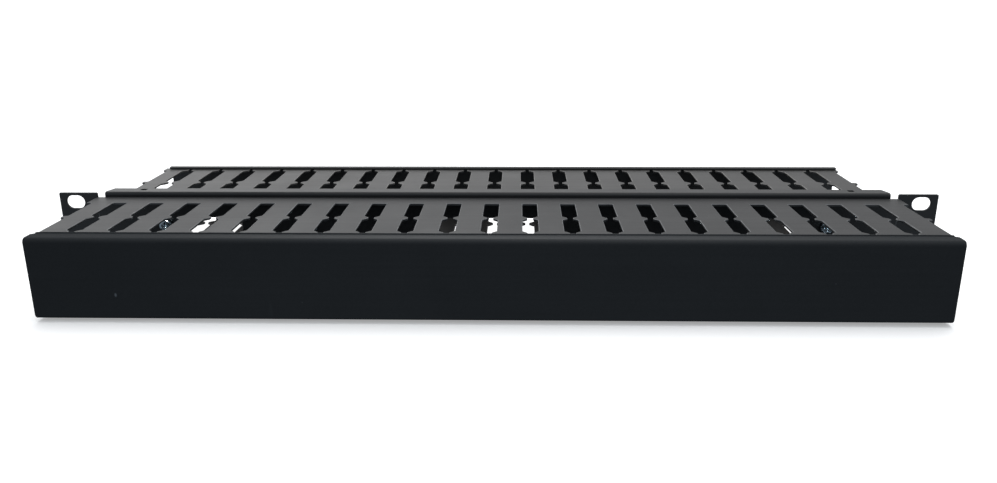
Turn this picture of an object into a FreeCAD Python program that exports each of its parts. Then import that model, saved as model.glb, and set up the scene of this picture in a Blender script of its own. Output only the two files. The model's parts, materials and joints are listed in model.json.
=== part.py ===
import FreeCAD, Part
import math
import os
import Sketcher

# Horizontal cable manager, one rack unit, ducts at the front and at the rear.
# Frame: X to the right, Y to the rear, Z up, millimetres. The origin is in the
# middle of the front face of the rack plate.

doc = FreeCAD.newDocument("cable_manager")
sheet = doc.addObject("Spreadsheet::Sheet", "Params")

DIMENSIONS = [
    # rack plate with ears
    ("rack_width", 482.6), ("ear_height", 42.2), ("plate_thick", 1.5),
    ("flange_height", 43.2), ("flange_width", 431.2), ("flange_depth", 9.0),
    ("flange_taper", 2.0), ("plate_bend", 1.7), ("ear_inner", 439.8),
    ("notch_floor", 17.0), ("ear_corner", 0.8),
    ("rack_slot_span", 465.1), ("rack_slot_rise", 31.75),
    ("rack_slot_long", 10.2), ("rack_slot_tall", 7.4),
    ("tab_hole_pos", 196.0), ("tab_hole_wide", 3.2), ("tab_hole_deep", 2.8),
    ("tab_hole_back", 5.9),
    # windows through the webs
    ("mid_window", 60.0), ("side_window", 33.0), ("side_window_pos", 156.5),
    ("window_tall", 14.8), ("window_corner", 2.0),
    # finger pattern shared by both ducts
    ("pitch", 20.12), ("slot_count", 21.0), ("wall_thick", 1.2),
    ("wall_corner", 0.4), ("wall_inner_corner", 0.2),
    ("tip_round", 0.9), ("root_round", 1.1),
    # front duct
    ("front_height", 37.6), ("front_base_width", 440.0),
    ("front_finger_width", 434.2), ("front_slot", 7.75), ("front_neck", 2.9),
    ("front_start", 12.4), ("front_neck_pos", 40.05), ("front_nib_long", 2.0),
    ("front_end", 64.9), ("front_tip", 77.4), ("front_side_nib", 2.5),
    ("front_side_nib_long", 3.3), ("front_row_shift", -0.45),
    # rear duct
    ("rear_height", 27.0), ("rear_finger_width", 433.2), ("rear_base_width", 438.6),
    ("rear_slot", 8.3), ("rear_neck", 2.3), ("rear_start", 22.0),
    ("rear_neck_pos", 57.0), ("rear_nib_long", 2.0), ("rear_end", 90.2),
    ("rear_tip", 95.8), ("rear_side_nib", 2.7),
    ("rear_side_nib_long", 3.3), ("rear_row_shift", -1.0),
    # covers
    ("lip_gap", 0.2), ("lip_round", 0.8), ("cover_bend", 2.4), ("cover_width", 433.6),
    ("cover_front", 81.9), ("cover_lip", 9.3), ("cover_corner_wide", 3.0),
    ("cover_corner_deep", 2.0), ("cover_bead_tall", 0.5),
    ("cover_bead_wide", 0.8), ("cover_bead_round", 0.2),
    ("rear_cover_back", 97.6), ("rear_cover_lip", 5.0), ("rear_cover_bend", 1.8),
    ("rear_cover_width", 435.4), ("rear_cover_corner", 0.6),
    ("cover_seat", 0.0), ("rear_cover_seat", 1.3),
    # screws and nuts
    ("screw_shank", 4.0), ("screw_hole", 4.3), ("screw_head", 8.0),
    ("screw_head_tall", 2.4), ("screw_head_round", 1.7), ("screw_tip", 6.3),
    ("recess_long", 4.2), ("recess_wide", 1.1), ("recess_deep", 1.5),
    ("nut_flats", 7.0), ("nut_tall", 3.0), ("nut_bore", 4.1),
    ("screw_far", 182.5), ("screw_near", 101.0), ("screw_rise", 3.0),
]

for row, (alias, number) in enumerate(DIMENSIONS, start=1):
    sheet.set("A%d" % row, alias)
    sheet.set("B%d" % row, "%r" % number)
    sheet.setAlias("B%d" % row, alias)
doc.recompute()
VALUES = dict(DIMENSIONS)


class Dim:
    """A number together with the sheet expression that produces it."""

    def __init__(self, value, text):
        self.value = float(value)
        self.text = text

    def _other(self, other):
        return other if isinstance(other, Dim) else Dim(other, "%r" % float(other))

    def __add__(self, other):
        other = self._other(other)
        return Dim(self.value + other.value, "(%s + %s)" % (self.text, other.text))

    def __sub__(self, other):
        other = self._other(other)
        return Dim(self.value - other.value, "(%s - %s)" % (self.text, other.text))

    def __mul__(self, other):
        other = self._other(other)
        return Dim(self.value * other.value, "(%s * %s)" % (self.text, other.text))

    def __truediv__(self, other):
        other = self._other(other)
        return Dim(self.value / other.value, "(%s / %s)" % (self.text, other.text))

    def __neg__(self):
        return Dim(-self.value, "(0 - %s)" % self.text)


def cell(alias):
    return Dim(VALUES[alias], "Params.%s" % alias)


def const(number):
    return Dim(number, "%r" % float(number))


def new_body(label):
    body = doc.addObject("PartDesign::Body", label)
    body.Label = label
    return body


def new_sketch(body, plane, label):
    sketch = body.newObject("Sketcher::SketchObject", label)
    for feature in body.Origin.OriginFeatures:
        if feature.Role == plane:
            sketch.AttachmentSupport = (feature, [""])
    sketch.MapMode = "FlatFace"
    return sketch


def bind(sketch, constraint, dim):
    index = sketch.addConstraint(constraint)
    sketch.setExpression("Constraints[%d]" % index, dim.text)
    return index


def square_wire(sketch, corners):
    """Closed outline of horizontal and vertical edges; a corner may be rounded."""
    count = len(corners)
    spots = [FreeCAD.Vector(c[0].value, c[1].value, 0) for c in corners]
    rounds = [c[2] if len(c) > 2 else None for c in corners]
    ins, outs, centres, turns = [], [], [], []
    for i in range(count):
        here = spots[i]
        back = (spots[i - 1] - here).normalize()
        ahead = (spots[(i + 1) % count] - here).normalize()
        radius = rounds[i].value if rounds[i] else 0.0
        ins.append(here + back * radius)
        outs.append(here + ahead * radius)
        centres.append(here + back * radius + ahead * radius)
        turns.append((back * -1).cross(ahead).z)
    lines = []
    for i in range(count):
        lines.append(sketch.addGeometry(
            Part.LineSegment(outs[i], ins[(i + 1) % count]), False))
    for i in range(count):
        before, after = lines[i - 1], lines[i]
        if rounds[i]:
            if turns[i] > 0:
                first, last = ins[i], outs[i]
                spot_in, spot_out = 1, 2
            else:
                first, last = outs[i], ins[i]
                spot_in, spot_out = 2, 1
            start = math.atan2(first.y - centres[i].y, first.x - centres[i].x)
            stop = math.atan2(last.y - centres[i].y, last.x - centres[i].x)
            if stop < start:
                stop += 2 * math.pi
            circle = Part.Circle(centres[i], FreeCAD.Vector(0, 0, 1), rounds[i].value)
            arc = sketch.addGeometry(Part.ArcOfCircle(circle, start, stop), False)
            sketch.addConstraint(Sketcher.Constraint("Tangent", before, 2, arc, spot_in))
            sketch.addConstraint(Sketcher.Constraint("Tangent", arc, spot_out, after, 1))
            bind(sketch, Sketcher.Constraint("Radius", arc, rounds[i].value), rounds[i])
        else:
            sketch.addConstraint(Sketcher.Constraint("Coincident", before, 2, after, 1))
    for i in range(count):
        one, two = corners[i], corners[(i + 1) % count]
        if abs(one[1].value - two[1].value) < 1e-9:
            sketch.addConstraint(Sketcher.Constraint("Horizontal", lines[i]))
            bind(sketch, Sketcher.Constraint("DistanceY", -1, 1, lines[i], 1, one[1].value), one[1])
        else:
            sketch.addConstraint(Sketcher.Constraint("Vertical", lines[i]))
            bind(sketch, Sketcher.Constraint("DistanceX", -1, 1, lines[i], 1, one[0].value), one[0])


def free_wire(sketch, corners):
    """Closed outline of straight edges in any direction."""
    count = len(corners)
    spots = [FreeCAD.Vector(c[0].value, c[1].value, 0) for c in corners]
    lines = [sketch.addGeometry(Part.LineSegment(spots[i], spots[(i + 1) % count]), False)
             for i in range(count)]
    for i in range(count):
        sketch.addConstraint(Sketcher.Constraint("Coincident", lines[i - 1], 2, lines[i], 1))
        bind(sketch, Sketcher.Constraint("DistanceX", -1, 1, lines[i], 1, corners[i][0].value), corners[i][0])
        bind(sketch, Sketcher.Constraint("DistanceY", -1, 1, lines[i], 1, corners[i][1].value), corners[i][1])


def box_wire(sketch, left, right, low, high, radius=None):
    corner = (radius,) if radius else ()
    square_wire(sketch, [(left, low) + corner, (right, low) + corner,
                         (right, high) + corner, (left, high) + corner])


def both_sides(feature):
    if "SideType" in feature.PropertiesList:
        feature.SideType = "Symmetric"
    else:
        feature.Midplane = True


def pad_wide(body, sketch, length, label):
    pad = body.newObject("PartDesign::Pad", label)
    pad.Profile = sketch
    pad.setExpression("Length", length.text)
    pad.Length = length.value
    both_sides(pad)
    return pad


def cut_through(body, sketch, label):
    pocket = body.newObject("PartDesign::Pocket", label)
    pocket.Profile = sketch
    pocket.Type = "ThroughAll"
    both_sides(pocket)
    return pocket


half_pitch = cell("pitch") / 2
plate = cell("plate_thick")
wall_t = cell("wall_thick")


def window_sketch(body, label):
    """Three cable windows and four screw holes, seen from the front."""
    sketch = new_sketch(body, "XZ_Plane", label)
    high = cell("window_tall") / 2
    radius = cell("window_corner")
    for centre, width in ((const(0), cell("mid_window")),
                          (cell("side_window_pos"), cell("side_window")),
                          (-cell("side_window_pos"), cell("side_window"))):
        box_wire(sketch, centre - width / 2, centre + width / 2, -high, high, radius)
    for side in (-1, 1):
        for alias in ("screw_near", "screw_far"):
            x = cell(alias) * side
            z = cell("screw_rise")
            hole = sketch.addGeometry(Part.Circle(
                FreeCAD.Vector(x.value, z.value, 0), FreeCAD.Vector(0, 0, 1),
                VALUES["screw_hole"] / 2), False)
            bind(sketch, Sketcher.Constraint("DistanceX", -1, 1, hole, 3, x.value), x)
            bind(sketch, Sketcher.Constraint("DistanceY", -1, 1, hole, 3, z.value), z)
            bind(sketch, Sketcher.Constraint("Radius", hole, VALUES["screw_hole"] / 2),
                 cell("screw_hole") / 2)
    return sketch


# ---------------------------------------------------------------- rack plate
def make_rack_plate():
    body = new_body("rack_plate")
    top = cell("flange_height") / 2
    bend = cell("plate_bend")
    inner = bend - plate
    profile = new_sketch(body, "YZ_Plane", "plate_profile")
    # web with the two flanges turned to the rear
    square_wire(profile, [
        (const(0), -top, bend), (cell("flange_depth"), -top), (cell("flange_depth"), plate - top),
        (plate, plate - top, inner), (plate, top - plate, inner),
        (cell("flange_depth"), top - plate), (cell("flange_depth"), top), (const(0), top, bend)])
    pad_wide(body, profile, cell("flange_width"), "plate_fold")

    # ears, level with the web
    ears = new_sketch(body, "XZ_Plane", "ear_outline")
    rim = cell("rack_width") / 2
    high = cell("ear_height") / 2
    step = cell("ear_inner") / 2
    floor = cell("notch_floor")
    root = cell("flange_width") / 2 - 1
    corner = cell("ear_corner")
    for side in (1, -1):
        outline = [(root * side, -floor), (step * side, -floor), (step * side, -high, corner),
                   (rim * side, -high, corner), (rim * side, high, corner),
                   (step * side, high, corner), (step * side, floor), (root * side, floor)]
        if side < 0:
            outline.reverse()
        square_wire(ears, outline)
    pad = body.newObject("PartDesign::Pad", "ears")
    pad.Profile = ears
    pad.setExpression("Length", plate.text)
    pad.Length = plate.value
    pad.Reversed = True

    # rack slots with round ends
    slots = new_sketch(body, "XZ_Plane", "rack_slots")
    radius = cell("rack_slot_tall") / 2
    half = cell("rack_slot_long") / 2 - radius
    for side in (1, -1):
        for rise in (1, -1):
            cx = cell("rack_slot_span") / 2 * side
            cz = cell("rack_slot_rise") / 2 * rise
            right = sketch_arc(slots, cx + half, cz, radius, -90)
            left = sketch_arc(slots, cx - half, cz, radius, 90)
            low = slots.addGeometry(Part.LineSegment(
                FreeCAD.Vector((cx - half).value, (cz - radius).value, 0),
                FreeCAD.Vector((cx + half).value, (cz - radius).value, 0)), False)
            top_line = slots.addGeometry(Part.LineSegment(
                FreeCAD.Vector((cx + half).value, (cz + radius).value, 0),
                FreeCAD.Vector((cx - half).value, (cz + radius).value, 0)), False)
            slots.addConstraint(Sketcher.Constraint("Tangent", low, 2, right, 1))
            slots.addConstraint(Sketcher.Constraint("Tangent", right, 2, top_line, 1))
            slots.addConstraint(Sketcher.Constraint("Tangent", top_line, 2, left, 1))
            slots.addConstraint(Sketcher.Constraint("Tangent", left, 2, low, 1))
            bind(slots, Sketcher.Constraint("DistanceX", -1, 1, right, 3, (cx + half).value), cx + half)
            bind(slots, Sketcher.Constraint("DistanceY", -1, 1, right, 3, cz.value), cz)
            bind(slots, Sketcher.Constraint("DistanceX", -1, 1, left, 3, (cx - half).value), cx - half)
            bind(slots, Sketcher.Constraint("DistanceY", -1, 1, left, 3, cz.value), cz)
            bind(slots, Sketcher.Constraint("Radius", right, radius.value), radius)
    cut_through(body, slots, "rack_slot_cut")

    # slanted flange ends and the small hole near each end
    ends = new_sketch(body, "XY_Plane", "flange_ends")
    wide = cell("flange_width") / 2
    back = cell("flange_depth")
    for side in (1, -1):
        free_wire(ends, [(wide * side, plate + 0.6), ((wide + 4) * side, plate + 0.6),
                         ((wide + 4) * side, back + 2), ((wide - cell("flange_taper") * 1.2) * side, back + 2)])
        x = cell("tab_hole_pos") * side
        y = cell("tab_hole_back")
        box_wire(ends, x - cell("tab_hole_wide") / 2, x + cell("tab_hole_wide") / 2,
                 y - cell("tab_hole_deep") / 2, y + cell("tab_hole_deep") / 2)
    cut_through(body, ends, "flange_end_cut")

    windows = window_sketch(body, "plate_windows")
    body.Tip = cut_through(body, windows, "plate_window_cut")
    return body


def sketch_arc(sketch, cx, cy, radius, start_degrees):
    start = math.radians(start_degrees)
    return sketch.addGeometry(Part.ArcOfCircle(Part.Circle(
        FreeCAD.Vector(cx.value, cy.value, 0), FreeCAD.Vector(0, 0, 1), radius.value),
        start, start + math.pi), False)


# ---------------------------------------------------------------------- ducts
def make_duct(label, sign, face, height, base_width, finger_width, slot, neck,
              start, neck_pos, nib_long, end, tip, side_nib, side_nib_long, tip_nib, shift):
    """U channel with the fingers along Y; sign -1 to the front, +1 to the rear."""
    body = new_body(label)
    top = height / 2
    bend = cell("wall_corner")
    inner = cell("wall_inner_corner")
    thick = wall_t * sign

    profile = new_sketch(body, "YZ_Plane", label + "_profile")
    square_wire(profile, [
        (face, -top, bend), (tip, -top), (tip, wall_t - top), (face + thick, wall_t - top, inner),
        (face + thick, top - wall_t, inner), (tip, top - wall_t), (tip, top), (face, top, bend)])
    pad_wide(body, profile, base_width, label + "_channel")

    windows = window_sketch(body, label + "_windows")
    cut_through(body, windows, label + "_window_cut")

    # outer edges of the end fingers: step behind the base strip, nib at the neck
    sides = new_sketch(body, "XY_Plane", label + "_sides")
    edge = finger_width / 2
    beyond = base_width / 2 + 3
    nib_one = neck_pos - side_nib_long / 2 * sign
    nib_two = neck_pos + side_nib_long / 2 * sign
    past = tip + sign * 3.0
    small = cell("tip_round")
    for side in (1, -1):
        outline = [(beyond * side, start), (edge * side, start, cell("root_round")),
                   (edge * side, nib_one, cell("root_round")),
                   ((edge + side_nib) * side, nib_one, small),
                   ((edge + side_nib) * side, nib_two, small),
                   (edge * side, nib_two, cell("root_round"))]
        if tip_nib:
            tip_start = end - sign * 1.0
            outline += [(edge * side, tip_start, cell("root_round")),
                        ((edge + side_nib) * side, tip_start, small),
                        ((edge + side_nib) * side, past), (beyond * side, past)]
        else:
            outline += [(edge * side, past), (beyond * side, past)]
        square_wire(sides, outline)
    cut_through(body, sides, label + "_side_cut")

    # one slot: two wide halves, the neck between them and the slit to the tip;
    # the nibs and the shoulders at the slit have slanted flanks
    slot_sketch = new_sketch(body, "XY_Plane", label + "_slot")
    half = slot / 2
    slit = neck / 2
    flank = (slot - neck) / 2 * sign
    neck_one = neck_pos - nib_long / 2 * sign
    neck_two = neck_pos + nib_long / 2 * sign
    left_x = shift - cell("pitch") * (cell("slot_count") - 1) / 2
    free_wire(slot_sketch, [
        (left_x - half, start), (left_x + half, start),
        (left_x + half, neck_one - flank), (left_x + slit, neck_one),
        (left_x + slit, neck_two), (left_x + half, neck_two + flank),
        (left_x + half, end - flank), (left_x + slit, end),
        (left_x + slit, past), (left_x - slit, past),
        (left_x - slit, end), (left_x - half, end - flank),
        (left_x - half, neck_two + flank), (left_x - slit, neck_two),
        (left_x - slit, neck_one), (left_x - half, neck_one - flank)])
    slot_cut = cut_through(body, slot_sketch, label + "_slot_cut")
    row = body.newObject("PartDesign::LinearPattern", label + "_slot_row")
    row.Originals = [slot_cut]
    row.Direction = (slot_sketch, ["H_Axis"])
    row.setExpression("Length", (cell("pitch") * (cell("slot_count") - 1)).text)
    row.setExpression("Occurrences", "Params.slot_count")
    row.Length = VALUES["pitch"] * (VALUES["slot_count"] - 1)
    row.Occurrences = int(VALUES["slot_count"])
    body.Tip = row
    return body


# --------------------------------------------------------------------- covers
def make_cover(label, sign, outer, lip, height, bend, width, corner_wide, corner_deep, seat,
               bead=False):
    """C channel; its lips point back at the plate. It sits seat off the middle.
    A small bead may stand on the free edge of both lips."""
    body = new_body(label)
    top = height / 2 + cell("lip_gap") + wall_t
    inner = bend - wall_t
    edge = outer - lip * sign
    thick = wall_t * sign
    profile = new_sketch(body, "YZ_Plane", label + "_profile")
    if bead:
        ridge = edge + cell("cover_bead_wide") * sign
        crest = top + cell("cover_bead_tall")
        soft = cell("cover_bead_round")
        under = [(ridge, -top), (ridge, -crest, soft), (edge, -crest, soft)]
        over = [(edge, crest, soft), (ridge, crest, soft), (ridge, top)]
    else:
        under = [(edge, -top, cell("lip_round"))]
        over = [(edge, top, cell("lip_round"))]
    square_wire(profile, [(outer, -top, bend)] + under + [
        (edge, wall_t - top), (outer - thick, wall_t - top, inner),
        (outer - thick, top - wall_t, inner), (edge, top - wall_t)] + over + [
            (outer, top, bend)])
    pad_wide(body, profile, width, label + "_channel")
    # the free corners of the lips are cut back
    nick = new_sketch(body, "XY_Plane", label + "_lip_corners")
    for side in (1, -1):
        slope = corner_deep / corner_wide
        free_wire(nick, [((width / 2 - corner_wide) * side, edge),
                         ((width / 2 - corner_wide) * side, edge - sign * 1.0),
                         ((width / 2 + 1) * side, edge - sign * 1.0),
                         ((width / 2 + 1) * side, edge + (corner_deep + slope) * sign)])
    body.Tip = cut_through(body, nick, label + "_corner_cut")
    body.Placement = FreeCAD.Placement(FreeCAD.Vector(seat.value, 0, 0), FreeCAD.Rotation())
    body.setExpression("Placement.Base.x", seat.text)
    return body


# --------------------------------------------------------------- screws, nuts
def make_screw(label, side, alias):
    """Pan head screw with a cross recess, head on the front web."""
    body = new_body(label)
    sketch = new_sketch(body, "XY_Plane", label + "_profile")
    shank = cell("screw_shank") / 2
    head = cell("screw_head") / 2
    front = -wall_t
    crown = front - cell("screw_head_tall")
    square_wire(sketch, [(const(0), crown), (head, crown, cell("screw_head_round")), (head, front),
                         (shank, front), (shank, cell("screw_tip")), (const(0), cell("screw_tip"))])
    turn = body.newObject("PartDesign::Revolution", label + "_turned")
    turn.Profile = sketch
    turn.ReferenceAxis = (sketch, ["V_Axis"])
    turn.Angle = 360.0
    # the sloping floor of the cross recess
    for plane, name in (("XY_Plane", "_recess_wide"), ("YZ_Plane", "_recess_tall")):
        cross = new_sketch(body, plane, label + name)
        reach = cell("recess_long") / 2
        deep = crown + cell("recess_deep")
        above = crown - 1.0
        if plane == "XY_Plane":
            spots = [(-reach, above), (reach, above), (reach, crown + 0.3), (reach * 0.35, deep),
                     (-(reach * 0.35), deep), (-reach, crown + 0.3)]
        else:
            spots = [(above, -reach), (above, reach), (crown + 0.3, reach), (deep, reach * 0.35),
                     (deep, -(reach * 0.35)), (crown + 0.3, -reach)]
        free_wire(cross, spots)
        pocket = body.newObject("PartDesign::Pocket", label + name + "_cut")
        pocket.Profile = cross
        pocket.setExpression("Length", "Params.recess_wide")
        pocket.Length = VALUES["recess_wide"]
        both_sides(pocket)
        body.Tip = pocket
    place(body, side, alias)
    return body


def make_nut(label, side, alias):
    """Hexagon nut against the rear web."""
    body = new_body(label)
    sketch = new_sketch(body, "XZ_Plane", label + "_outline")
    half = cell("nut_flats") / 2
    point = cell("nut_flats") / 1.7320508
    free_wire(sketch, [(point, const(0)), (point / 2, half), (-(point / 2), half),
                       (-point, const(0)), (-(point / 2), -half), (point / 2, -half)])
    bore = sketch.addGeometry(Part.Circle(
        FreeCAD.Vector(0, 0, 0), FreeCAD.Vector(0, 0, 1), VALUES["nut_bore"] / 2), False)
    sketch.addConstraint(Sketcher.Constraint("Coincident", -1, 1, bore, 3))
    bind(sketch, Sketcher.Constraint("Radius", bore, VALUES["nut_bore"] / 2), cell("nut_bore") / 2)
    pad = body.newObject("PartDesign::Pad", label + "_pad")
    pad.Profile = sketch
    pad.setExpression("Length", "Params.nut_tall")
    pad.Length = VALUES["nut_tall"]
    pad.Reversed = True
    body.Tip = pad
    place(body, side, alias, plate + wall_t)
    return body


def place(body, side, alias, depth=None):
    x = cell(alias) * side
    z = cell("screw_rise")
    y = depth if depth else const(0)
    body.Placement = FreeCAD.Placement(FreeCAD.Vector(x.value, y.value, z.value), FreeCAD.Rotation())
    body.setExpression("Placement.Base.x", x.text)
    body.setExpression("Placement.Base.y", y.text)
    body.setExpression("Placement.Base.z", z.text)


nodes = [make_rack_plate()]
nodes.append(make_duct(
    "front_duct", -1, const(0), cell("front_height"), cell("front_base_width"),
    cell("front_finger_width"), cell("front_slot"), cell("front_neck"),
    -cell("front_start"), -cell("front_neck_pos"), cell("front_nib_long"),
    -cell("front_end"), -cell("front_tip"), cell("front_side_nib"),
    cell("front_side_nib_long"), False, cell("front_row_shift")))
nodes.append(make_duct(
    "rear_duct", 1, cell("plate_thick"), cell("rear_height"), cell("rear_base_width"),
    cell("rear_finger_width"), cell("rear_slot"), cell("rear_neck"),
    cell("rear_start"), cell("rear_neck_pos"), cell("rear_nib_long"),
    cell("rear_end"), cell("rear_tip"), cell("rear_side_nib"),
    cell("rear_side_nib_long"), True, cell("rear_row_shift")))
nodes.append(make_cover(
    "front_cover", -1, -cell("cover_front"), cell("cover_lip"), cell("front_height"),
    cell("cover_bend"), cell("cover_width"), cell("cover_corner_wide"),
    cell("cover_corner_deep"), cell("cover_seat"), bead=True))
nodes.append(make_cover(
    "rear_cover", 1, cell("rear_cover_back"), cell("rear_cover_lip"), cell("rear_height"),
    cell("rear_cover_bend"), cell("rear_cover_width"), cell("rear_cover_corner"),
    cell("rear_cover_corner"), cell("rear_cover_seat")))
number = 0
for alias in ("screw_near", "screw_far"):
    for side in (-1, 1):
        number += 1
        nodes.append(make_screw("screw_%d" % number, side, alias))
        nodes.append(make_nut("nut_%d" % number, side, alias))

doc.recompute()

for item in doc.Objects:
    for word in item.State:
        if word in ("Invalid", "Error"):
            raise RuntimeError("%s is %s" % (item.Label, word))
for node in nodes:
    if node.Shape.isNull() or not node.Shape.isValid():
        raise RuntimeError("%s has no valid shape" % node.Label)
    if len(node.Shape.Solids) != 1:
        raise RuntimeError("%s has %d solids" % (node.Label, len(node.Shape.Solids)))

os.makedirs("parts", exist_ok=True)
for node in nodes:
    node.Shape.exportStep("parts/%s.step" % node.Label)
    box = node.Shape.BoundBox
    print("%-12s X %.2f..%.2f  Y %.2f..%.2f  Z %.2f..%.2f  volume %.0f mm3" % (
        node.Label, box.XMin, box.XMax, box.YMin, box.YMax, box.ZMin, box.ZMax, node.Shape.Volume))
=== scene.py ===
import json
import math

import bpy
from mathutils import Matrix, Vector


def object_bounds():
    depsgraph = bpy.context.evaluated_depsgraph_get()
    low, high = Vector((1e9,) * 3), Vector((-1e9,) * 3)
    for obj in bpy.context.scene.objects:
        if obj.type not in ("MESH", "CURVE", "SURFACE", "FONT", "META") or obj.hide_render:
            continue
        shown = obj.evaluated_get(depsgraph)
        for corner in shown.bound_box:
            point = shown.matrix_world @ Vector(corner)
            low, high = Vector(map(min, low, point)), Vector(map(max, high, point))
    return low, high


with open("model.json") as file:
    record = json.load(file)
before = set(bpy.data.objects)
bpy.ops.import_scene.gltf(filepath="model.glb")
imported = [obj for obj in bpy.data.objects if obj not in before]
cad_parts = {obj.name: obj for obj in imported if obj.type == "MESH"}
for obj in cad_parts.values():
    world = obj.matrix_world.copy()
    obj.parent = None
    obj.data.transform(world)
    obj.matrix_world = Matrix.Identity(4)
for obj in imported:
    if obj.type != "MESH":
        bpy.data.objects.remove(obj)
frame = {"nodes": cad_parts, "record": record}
cad_low, cad_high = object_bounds()
nodes = frame["nodes"]
scene = bpy.context.scene


# ------------------------------------------------------------------ materials
class Tree:
    """Small helper that builds a node material."""

    def __init__(self, name):
        self.material = bpy.data.materials.new(name)
        self.material.use_nodes = True
        self.tree = self.material.node_tree
        self.tree.nodes.clear()
        self.out = self.add("ShaderNodeOutputMaterial")

    def add(self, kind, **settings):
        node = self.tree.nodes.new(kind)
        for key, value in settings.items():
            setattr(node, key, value)
        return node

    def link(self, a, b):
        self.tree.links.new(a, b)

    def place(self, scale=(1.0, 1.0, 1.0), shift=(0.0, 0.0, 0.0)):
        """Object coordinates, stretched for lines that run along an axis."""
        coords = self.add("ShaderNodeTexCoord").outputs["Object"]
        mapping = self.add("ShaderNodeMapping")
        mapping.inputs["Scale"].default_value = scale
        mapping.inputs["Location"].default_value = shift
        self.link(coords, mapping.inputs["Vector"])
        return mapping.outputs["Vector"]

    def noise(self, coords, scale, detail=3.0, roughness=0.55):
        node = self.add("ShaderNodeTexNoise")
        node.inputs["Scale"].default_value = scale
        node.inputs["Detail"].default_value = detail
        node.inputs["Roughness"].default_value = roughness
        self.link(coords, node.inputs["Vector"])
        return node.outputs["Fac"]

    def remap(self, value, low, high, to_low, to_high, kind="LINEAR"):
        node = self.add("ShaderNodeMapRange", interpolation_type=kind)
        node.clamp = True
        node.inputs["From Min"].default_value = low
        node.inputs["From Max"].default_value = high
        node.inputs["To Min"].default_value = to_low
        node.inputs["To Max"].default_value = to_high
        self.link(value, node.inputs["Value"])
        return node.outputs["Result"]

    def math(self, operation, a, b):
        node = self.add("ShaderNodeMath", operation=operation)
        for socket, value in ((node.inputs[0], a), (node.inputs[1], b)):
            if isinstance(value, (int, float)):
                socket.default_value = value
            else:
                self.link(value, socket)
        return node.outputs["Value"]

    def mix(self, factor, a, b):
        node = self.add("ShaderNodeMix", data_type="RGBA")
        self.link(factor, node.inputs["Factor"])
        for socket, value in ((node.inputs["A"], a), (node.inputs["B"], b)):
            if isinstance(value, tuple):
                socket.default_value = (*value, 1.0)
            else:
                self.link(value, socket)
        return node.outputs["Result"]

    def motes(self, colour, dust, rarity=(0.60, 0.66), amount=0.35):
        """Rare dust motes, about a third of a millimetre across."""
        coords = self.place()
        cells = self.add("ShaderNodeTexVoronoi", feature="F1")
        cells.inputs["Scale"].default_value = 130.0
        cells.inputs["Randomness"].default_value = 1.0
        self.link(coords, cells.inputs["Vector"])
        spots = self.remap(cells.outputs["Distance"], 0.02, 0.055, 1.0, 0.0)
        rare = self.remap(self.noise(coords, 60.0, 1.0), *rarity, 0.0, amount)
        return self.mix(self.math("MULTIPLY", spots, rare), colour, dust)

    def mark(self, colour, place, reach, shade, amount=1.0, soft=0.4):
        """A small soft mark at a place on the object; reach is its size along each axis."""
        coords = self.place(tuple(1.0 / r for r in reach),
                            tuple(-p / r for p, r in zip(place, reach)))
        length = self.add("ShaderNodeVectorMath", operation="LENGTH")
        self.link(coords, length.inputs[0])
        fade = self.remap(length.outputs["Value"], soft, 1.0, amount, 0.0, "SMOOTHSTEP")
        return self.mix(fade, colour, shade)


def duct_plastic(name, dark, light, dust, roughness, specular, marks=(), duller_ends=None):
    """Extruded PVC: faint die lines along the length, fine grain, slow mottling, a little dust."""
    t = Tree(name)
    shader = t.add("ShaderNodeBsdfPrincipled")
    t.link(shader.outputs["BSDF"], t.out.inputs["Surface"])
    plain = t.place()
    along = t.place((0.012, 1.0, 1.0))
    cloud = t.remap(t.noise(plain, 26.0, 4.0), 0.3, 0.7, 0.0, 1.0)
    grain = t.remap(t.noise(plain, 1300.0, 2.0), 0.3, 0.7, 0.0, 1.0)
    lines = t.remap(t.noise(along, 620.0, 3.0, 0.6), 0.3, 0.7, 0.0, 1.0)
    tone = t.math("ADD", t.math("MULTIPLY", cloud, 0.35),
                  t.math("ADD", t.math("MULTIPLY", grain, 0.35), t.math("MULTIPLY", lines, 0.30)))
    colour = t.motes(t.mix(tone, dark, light), dust)
    for place, reach, shade, amount, soft in marks:
        colour = t.mark(colour, place, reach, shade, amount, soft)
    t.link(colour, shader.inputs["Base Color"])
    # low spots of the mottling are a little glossier, the die lines a little duller
    rough = t.math("ADD", t.remap(cloud, 0.0, 1.0, roughness[0], roughness[1]),
                   t.math("MULTIPLY", t.math("SUBTRACT", lines, 0.5), 0.05))
    if duller_ends:
        # handled ends: the satin is rubbed dull towards both, more so on the left
        split = t.add("ShaderNodeSeparateXYZ")
        t.link(plain, split.inputs["Vector"])
        left = t.remap(split.outputs["X"], -0.225, -0.02, duller_ends[0], 0.0, "SMOOTHSTEP")
        right = t.remap(split.outputs["X"], 0.06, 0.225, 0.0, duller_ends[1], "SMOOTHSTEP")
        rough = t.math("ADD", rough, t.math("ADD", left, right))
    t.link(rough, shader.inputs["Roughness"])
    shader.inputs["IOR"].default_value = 1.50
    shader.inputs["Specular IOR Level"].default_value = specular
    height = t.math("ADD", t.math("MULTIPLY", t.noise(along, 620.0, 3.0, 0.6), 0.6),
                    t.math("MULTIPLY", t.noise(plain, 1500.0, 2.0, 0.5), 0.4))
    bump = t.add("ShaderNodeBump")
    bump.inputs["Strength"].default_value = 0.30
    bump.inputs["Distance"].default_value = 0.00005
    t.link(height, bump.inputs["Height"])
    t.link(bump.outputs["Normal"], shader.inputs["Normal"])
    return t.material


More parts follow.
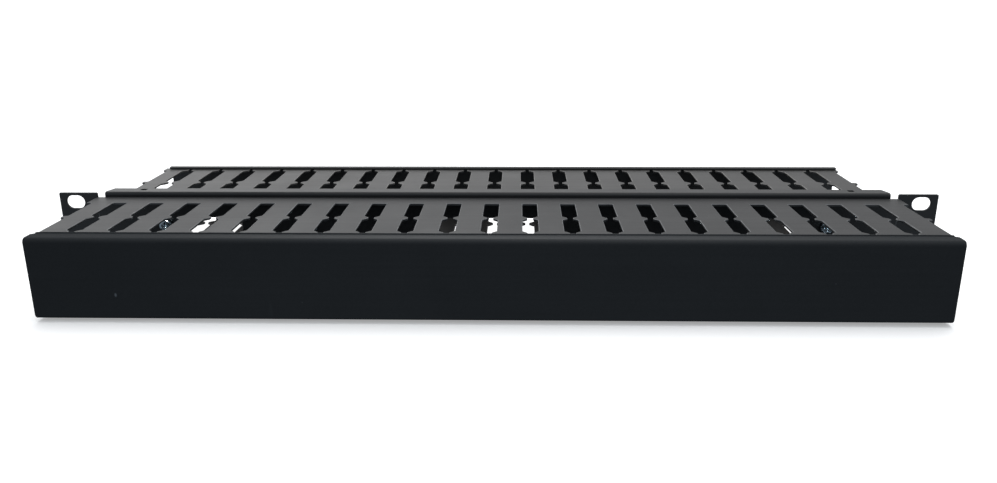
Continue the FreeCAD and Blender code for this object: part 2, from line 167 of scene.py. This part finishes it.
def powder_coat(name, dark, light, dust, roughness, specular):
    """Satin black powder coat on steel: orange peel, fine grain, faint mottling, a little dust."""
    t = Tree(name)
    shader = t.add("ShaderNodeBsdfPrincipled")
    t.link(shader.outputs["BSDF"], t.out.inputs["Surface"])
    plain = t.place()
    cloud = t.remap(t.noise(plain, 34.0, 4.0), 0.3, 0.7, 0.0, 1.0)
    grain = t.remap(t.noise(plain, 1900.0, 2.0), 0.3, 0.7, 0.0, 1.0)
    tone = t.math("ADD", t.math("MULTIPLY", cloud, 0.5), t.math("MULTIPLY", grain, 0.5))
    t.link(t.motes(t.mix(tone, dark, light), dust), shader.inputs["Base Color"])
    t.link(t.remap(tone, 0.0, 1.0, *roughness), shader.inputs["Roughness"])
    shader.inputs["IOR"].default_value = 1.50
    shader.inputs["Specular IOR Level"].default_value = specular
    height = t.math("ADD", t.math("MULTIPLY", t.noise(plain, 800.0, 2.0, 0.5), 0.7),
                    t.math("MULTIPLY", t.noise(plain, 2600.0, 1.0, 0.5), 0.3))
    bump = t.add("ShaderNodeBump")
    bump.inputs["Strength"].default_value = 0.45
    bump.inputs["Distance"].default_value = 0.00007
    t.link(height, bump.inputs["Height"])
    t.link(bump.outputs["Normal"], shader.inputs["Normal"])
    return t.material


def bright_zinc(name):
    """Bluish bright zinc plate with a fine spangle and soft rub marks."""
    t = Tree(name)
    shader = t.add("ShaderNodeBsdfPrincipled")
    t.link(shader.outputs["BSDF"], t.out.inputs["Surface"])
    plain = t.place()
    cloud = t.remap(t.noise(plain, 420.0, 3.0), 0.3, 0.7, 0.0, 1.0)
    t.link(t.mix(cloud, (0.30, 0.36, 0.40), (0.50, 0.57, 0.62)), shader.inputs["Base Color"])
    shader.inputs["Metallic"].default_value = 1.0
    t.link(t.remap(t.noise(plain, 900.0, 2.0), 0.3, 0.7, 0.12, 0.22), shader.inputs["Roughness"])
    bump = t.add("ShaderNodeBump")
    bump.inputs["Strength"].default_value = 0.2
    bump.inputs["Distance"].default_value = 0.00003
    t.link(t.noise(plain, 1600.0, 2.0), bump.inputs["Height"])
    t.link(bump.outputs["Normal"], shader.inputs["Normal"])
    return t.material


SPECK = ((-0.1763, -0.0819, -0.0076), (0.0008, 0.0013, 0.0013), (0.13, 0.145, 0.16), 0.8, 0.30)
SCUFF = ((-0.1030, -0.0819, -0.0148), (0.0012, 0.0020, 0.0062), (0.030, 0.034, 0.037), 0.55, 0.1)

FINISH = {
    "plate_coat": powder_coat(
        "plate_coat", (0.0085, 0.0088, 0.0095), (0.0150, 0.0153, 0.0164), (0.14, 0.14, 0.14),
        (0.34, 0.42), 0.52),
    "duct_plastic": duct_plastic(
        "duct_plastic", (0.0190, 0.0193, 0.0200), (0.0300, 0.0303, 0.0312), (0.18, 0.18, 0.18),
        (0.41, 0.49), 0.47),
    "rear_duct_plastic": duct_plastic(
        "rear_duct_plastic", (0.0200, 0.0193, 0.0187), (0.0315, 0.0303, 0.0293), (0.20, 0.19, 0.18),
        (0.38, 0.46), 0.66),
    "cover_plastic": duct_plastic(
        "cover_plastic", (0.0180, 0.0200, 0.0220), (0.0256, 0.0280, 0.0306), (0.10, 0.11, 0.12),
        (0.42, 0.49), 0.15, marks=(SPECK, SCUFF), duller_ends=(0.42, 0.26)),
    "fastener": bright_zinc("fastener"),
}

def painted_edge_highlight(name, dark, light):
    """Rim faces on the cut plastic edges, paler and smoother than the faces beside them: a painted
    highlight along every edge.
    """
    t = Tree(name)
    shader = t.add("ShaderNodeBsdfPrincipled")
    t.link(shader.outputs["BSDF"], t.out.inputs["Surface"])
    plain = t.place()
    broken = t.remap(t.noise(plain, 160.0, 4.0, 0.6), 0.35, 0.65, 0.0, 1.0)
    t.link(t.mix(broken, dark, light), shader.inputs["Base Color"])
    t.link(t.remap(broken, 0.0, 1.0, 0.40, 0.28), shader.inputs["Roughness"])
    shader.inputs["IOR"].default_value = 1.50
    shader.inputs["Specular IOR Level"].default_value = 0.85
    bump = t.add("ShaderNodeBump")
    bump.inputs["Strength"].default_value = 0.25
    bump.inputs["Distance"].default_value = 0.00004
    t.link(t.noise(plain, 1800.0, 2.0), bump.inputs["Height"])
    t.link(bump.outputs["Normal"], shader.inputs["Normal"])
    return t.material


EDGE_HIGHLIGHT = {"front_duct": painted_edge_highlight("front_edge_highlight", (0.050, 0.053, 0.057), (0.115, 0.120, 0.127)),
        "rear_duct": painted_edge_highlight("rear_edge_highlight", (0.080, 0.077, 0.074), (0.170, 0.163, 0.157))}

RIM = {"rack_plate": 0.00025, "front_duct": 0.00034, "rear_duct": 0.00034,
       "front_cover": 0.00029, "rear_cover": 0.00022}

for name, obj in nodes.items():
    for entry in frame["record"]["subparts"]:
        if entry["node"] == name:
            slot = entry["material_slot"]
    obj.data.materials.clear()
    obj.data.materials.append(FINISH[slot])
    # a fine rounding that catches the light along every rim; on the ducts its faces also get a painted
    # highlight colour
    merge = obj.modifiers.new("merge", "WELD")
    merge.merge_threshold = 0.00001
    rim = obj.modifiers.new("rim", "BEVEL")
    rim.width = RIM.get(name, 0.00012)
    rim.segments = 2
    rim.limit_method = "ANGLE"
    rim.angle_limit = 0.6
    rim.use_clamp_overlap = False
    rim.loop_slide = False
    # painted highlight: the ducts' rounding faces take the paler edge colour
    if name in EDGE_HIGHLIGHT:
        obj.data.materials.append(EDGE_HIGHLIGHT[name])
        rim.material = 1


# ---------------------------------------------------------------------- stage
def floor_material():
    """Pale floor with an even glow; under the rear duct a painted pool of light cancels the shade there.
    """
    t = Tree("floor")
    paint = t.add("ShaderNodeBsdfDiffuse")
    paint.inputs["Color"].default_value = (0.90, 0.90, 0.90, 1.0)
    split = t.add("ShaderNodeSeparateXYZ")
    t.link(t.add("ShaderNodeTexCoord").outputs["Object"], split.inputs["Vector"])
    x, y, z = split.outputs
    # painted light: the floor under the rear duct glows fully, cancelling the shadow it would have where
    # the slots show it
    painted_light_patch = t.math("MULTIPLY", t.remap(y, 0.00, 0.03, 0.0, 1.0, "SMOOTHSTEP"),
                   t.remap(y, 0.11, 0.16, 1.0, 0.0, "SMOOTHSTEP"))
    width = t.remap(t.math("ABSOLUTE", x, 0.0), 0.19, 0.24, 1.0, 0.0, "SMOOTHSTEP")
    painted_light_patch = t.math("MULTIPLY", painted_light_patch, width)
    glow = t.add("ShaderNodeEmission")
    glow.inputs["Color"].default_value = (1.0, 1.0, 1.0, 1.0)
    # far out of the softbox's reach the flat floor glows fully, so it stays as pale as near the object
    reach = t.add("ShaderNodeVectorMath", operation="LENGTH")
    t.link(t.add("ShaderNodeTexCoord").outputs["Object"], reach.inputs[0])
    far = t.remap(reach.outputs["Value"], 0.45, 1.6, 0.0, 1.0, "SMOOTHSTEP")
    t.link(t.remap(t.math("MAXIMUM", painted_light_patch, far), 0.0, 1.0, FLOOR_GLOW, 1.0), glow.inputs["Strength"])
    both = t.add("ShaderNodeAddShader")
    t.link(paint.outputs["BSDF"], both.inputs[0])
    t.link(glow.outputs["Emission"], both.inputs[1])
    t.link(both.outputs["Shader"], t.out.inputs["Surface"])
    return t.material


FLOOR_GLOW = 0.33
low = cad_low.z
bpy.ops.mesh.primitive_plane_add(size=60.0, location=(0, 0.0, low - 0.0003))
floor = bpy.context.object
floor.name = "floor"
floor.data.materials.append(floor_material())
floor.visible_glossy = False
floor.visible_diffuse = False


# --------------------------------------------------------------------- lights
def area(name, place, target, size, energy, tint=(1, 1, 1), glossy=True):
    light = bpy.data.lights.new(name, "AREA")
    light.shape = "RECTANGLE"
    light.size, light.size_y = size
    light.energy = energy
    light.color = tint
    obj = bpy.data.objects.new(name, light)
    scene.collection.objects.link(obj)
    obj.location = place
    obj.rotation_mode = "QUATERNION"
    obj.rotation_quaternion = (Vector(target) - Vector(place)).to_track_quat("-Z", "Y")
    obj.visible_glossy = glossy
    return obj


def studio_world():
    """Bright wall behind on the left, soft light overhead, dim bluish room in front."""
    world = bpy.data.worlds.new("studio")
    world.use_nodes = True
    tree = world.node_tree
    tree.nodes.clear()

    def add(kind, **settings):
        node = tree.nodes.new(kind)
        for key, value in settings.items():
            setattr(node, key, value)
        return node

    def ramp(value, low_in, high_in, low_out, high_out):
        node = add("ShaderNodeMapRange", interpolation_type="SMOOTHSTEP")
        node.inputs["From Min"].default_value = low_in
        node.inputs["From Max"].default_value = high_in
        node.inputs["To Min"].default_value = low_out
        node.inputs["To Max"].default_value = high_out
        tree.links.new(value, node.inputs["Value"])
        return node.outputs["Result"]

    def calc(operation, a, b):
        node = add("ShaderNodeMath", operation=operation)
        for socket, value in ((node.inputs[0], a), (node.inputs[1], b)):
            if isinstance(value, (int, float)):
                socket.default_value = value
            else:
                tree.links.new(value, socket)
        return node.outputs["Value"]

    def lamp(colour, strength):
        node = add("ShaderNodeBackground")
        node.inputs["Color"].default_value = (*colour, 1.0)
        if isinstance(strength, (int, float)):
            node.inputs["Strength"].default_value = strength
        else:
            tree.links.new(strength, node.inputs["Strength"])
        return node.outputs["Background"]

    def together(a, b):
        node = add("ShaderNodeAddShader")
        tree.links.new(a, node.inputs[0])
        tree.links.new(b, node.inputs[1])
        return node.outputs["Shader"]

    split = add("ShaderNodeSeparateXYZ")
    tree.links.new(add("ShaderNodeTexCoord").outputs["Generated"], split.inputs["Vector"])
    x, y, z = split.outputs
    wall = calc("MULTIPLY", ramp(y, 0.10, 0.80, 0.0, WALL), ramp(z, -0.30, -0.08, 0.0, 1.0))
    wall = calc("MULTIPLY", wall, ramp(z, WALL_TOP[0], WALL_TOP[1], 1.0, 0.0))
    wall = calc("MULTIPLY", wall, ramp(x, -0.55, 0.55, 1.0, WALL_RIGHT))
    top = calc("MULTIPLY", ramp(z, 0.40, 0.95, 0.0, TOP), ramp(x, -0.7, 0.7, TOP_LEFT, 1.0))
    room = calc("MULTIPLY", ramp(y, -0.6, 0.5, 1.0, 0.25), ROOM)
    lit = together(lamp((1.0, 1.0, 1.0), calc("ADD", wall, top)), lamp(ROOM_TINT, room))
    plain = lamp((1.0, 1.0, 1.0), 1.05)
    mix = add("ShaderNodeMixShader")
    tree.links.new(add("ShaderNodeLightPath").outputs["Is Camera Ray"], mix.inputs["Fac"])
    tree.links.new(lit, mix.inputs[1])
    tree.links.new(plain, mix.inputs[2])
    tree.links.new(mix.outputs["Shader"], add("ShaderNodeOutputWorld").inputs["Surface"])
    return world


WALL, WALL_RIGHT, WALL_TOP = 1.12, 0.43, (0.54, 0.97)
TOP, TOP_LEFT = 0.74, 0.28
ROOM, ROOM_TINT = 0.34, (0.86, 0.97, 1.08)
scene.world = studio_world()
area("top_softbox", (0.10, 0.35, 1.6), (0, 0.0, 0), (1.6, 1.4), 24.0, glossy=False)

# two small lamps whose glints only the bright fasteners show
bright = bpy.data.collections.new("bright")
for name, obj in nodes.items():
    if name.startswith(("screw", "nut")):
        bright.objects.link(obj)
for name, place in (("glint_left", (-0.20, -0.95, 1.15)), ("glint_right", (0.16, -0.95, 1.15))):
    lamp = area(name, place, (0, -0.004, 0.003), (0.20, 0.90), 90.0, tint=(0.90, 0.97, 1.0))
    lamp.light_linking.receiver_collection = bright

scene.view_settings.view_transform = "Standard"
scene.view_settings.look = "None"
scene.view_settings.exposure = 0.0

# --------------------------------------------------------------------- camera
FOCAL = 862.14 / 997.0
YAW, PITCH, ROLL = 0.02579, 0.30620, 0.00417
PLACE = Vector((0.01445149, -0.45804746, 0.13853912))


def camera_axes(yaw, pitch, roll):
    turn = Matrix.Rotation(yaw, 3, "Z") @ Matrix.Rotation(-pitch, 3, "X") @ Matrix.Rotation(roll, 3, "Y")
    right, forward, up = turn.col[0], turn.col[1], turn.col[2]
    axes = Matrix((right, up, -forward)).transposed()
    return axes


data = bpy.data.cameras.new("camera")
data.sensor_fit = "HORIZONTAL"
data.sensor_width = 36.0
data.lens = FOCAL * 36.0
data.clip_start = 0.01
data.clip_end = 50.0
camera = bpy.data.objects.new("camera", data)
scene.collection.objects.link(camera)
camera.matrix_world = Matrix.Translation(PLACE) @ camera_axes(YAW, PITCH, ROLL).to_4x4()
scene.camera = camera
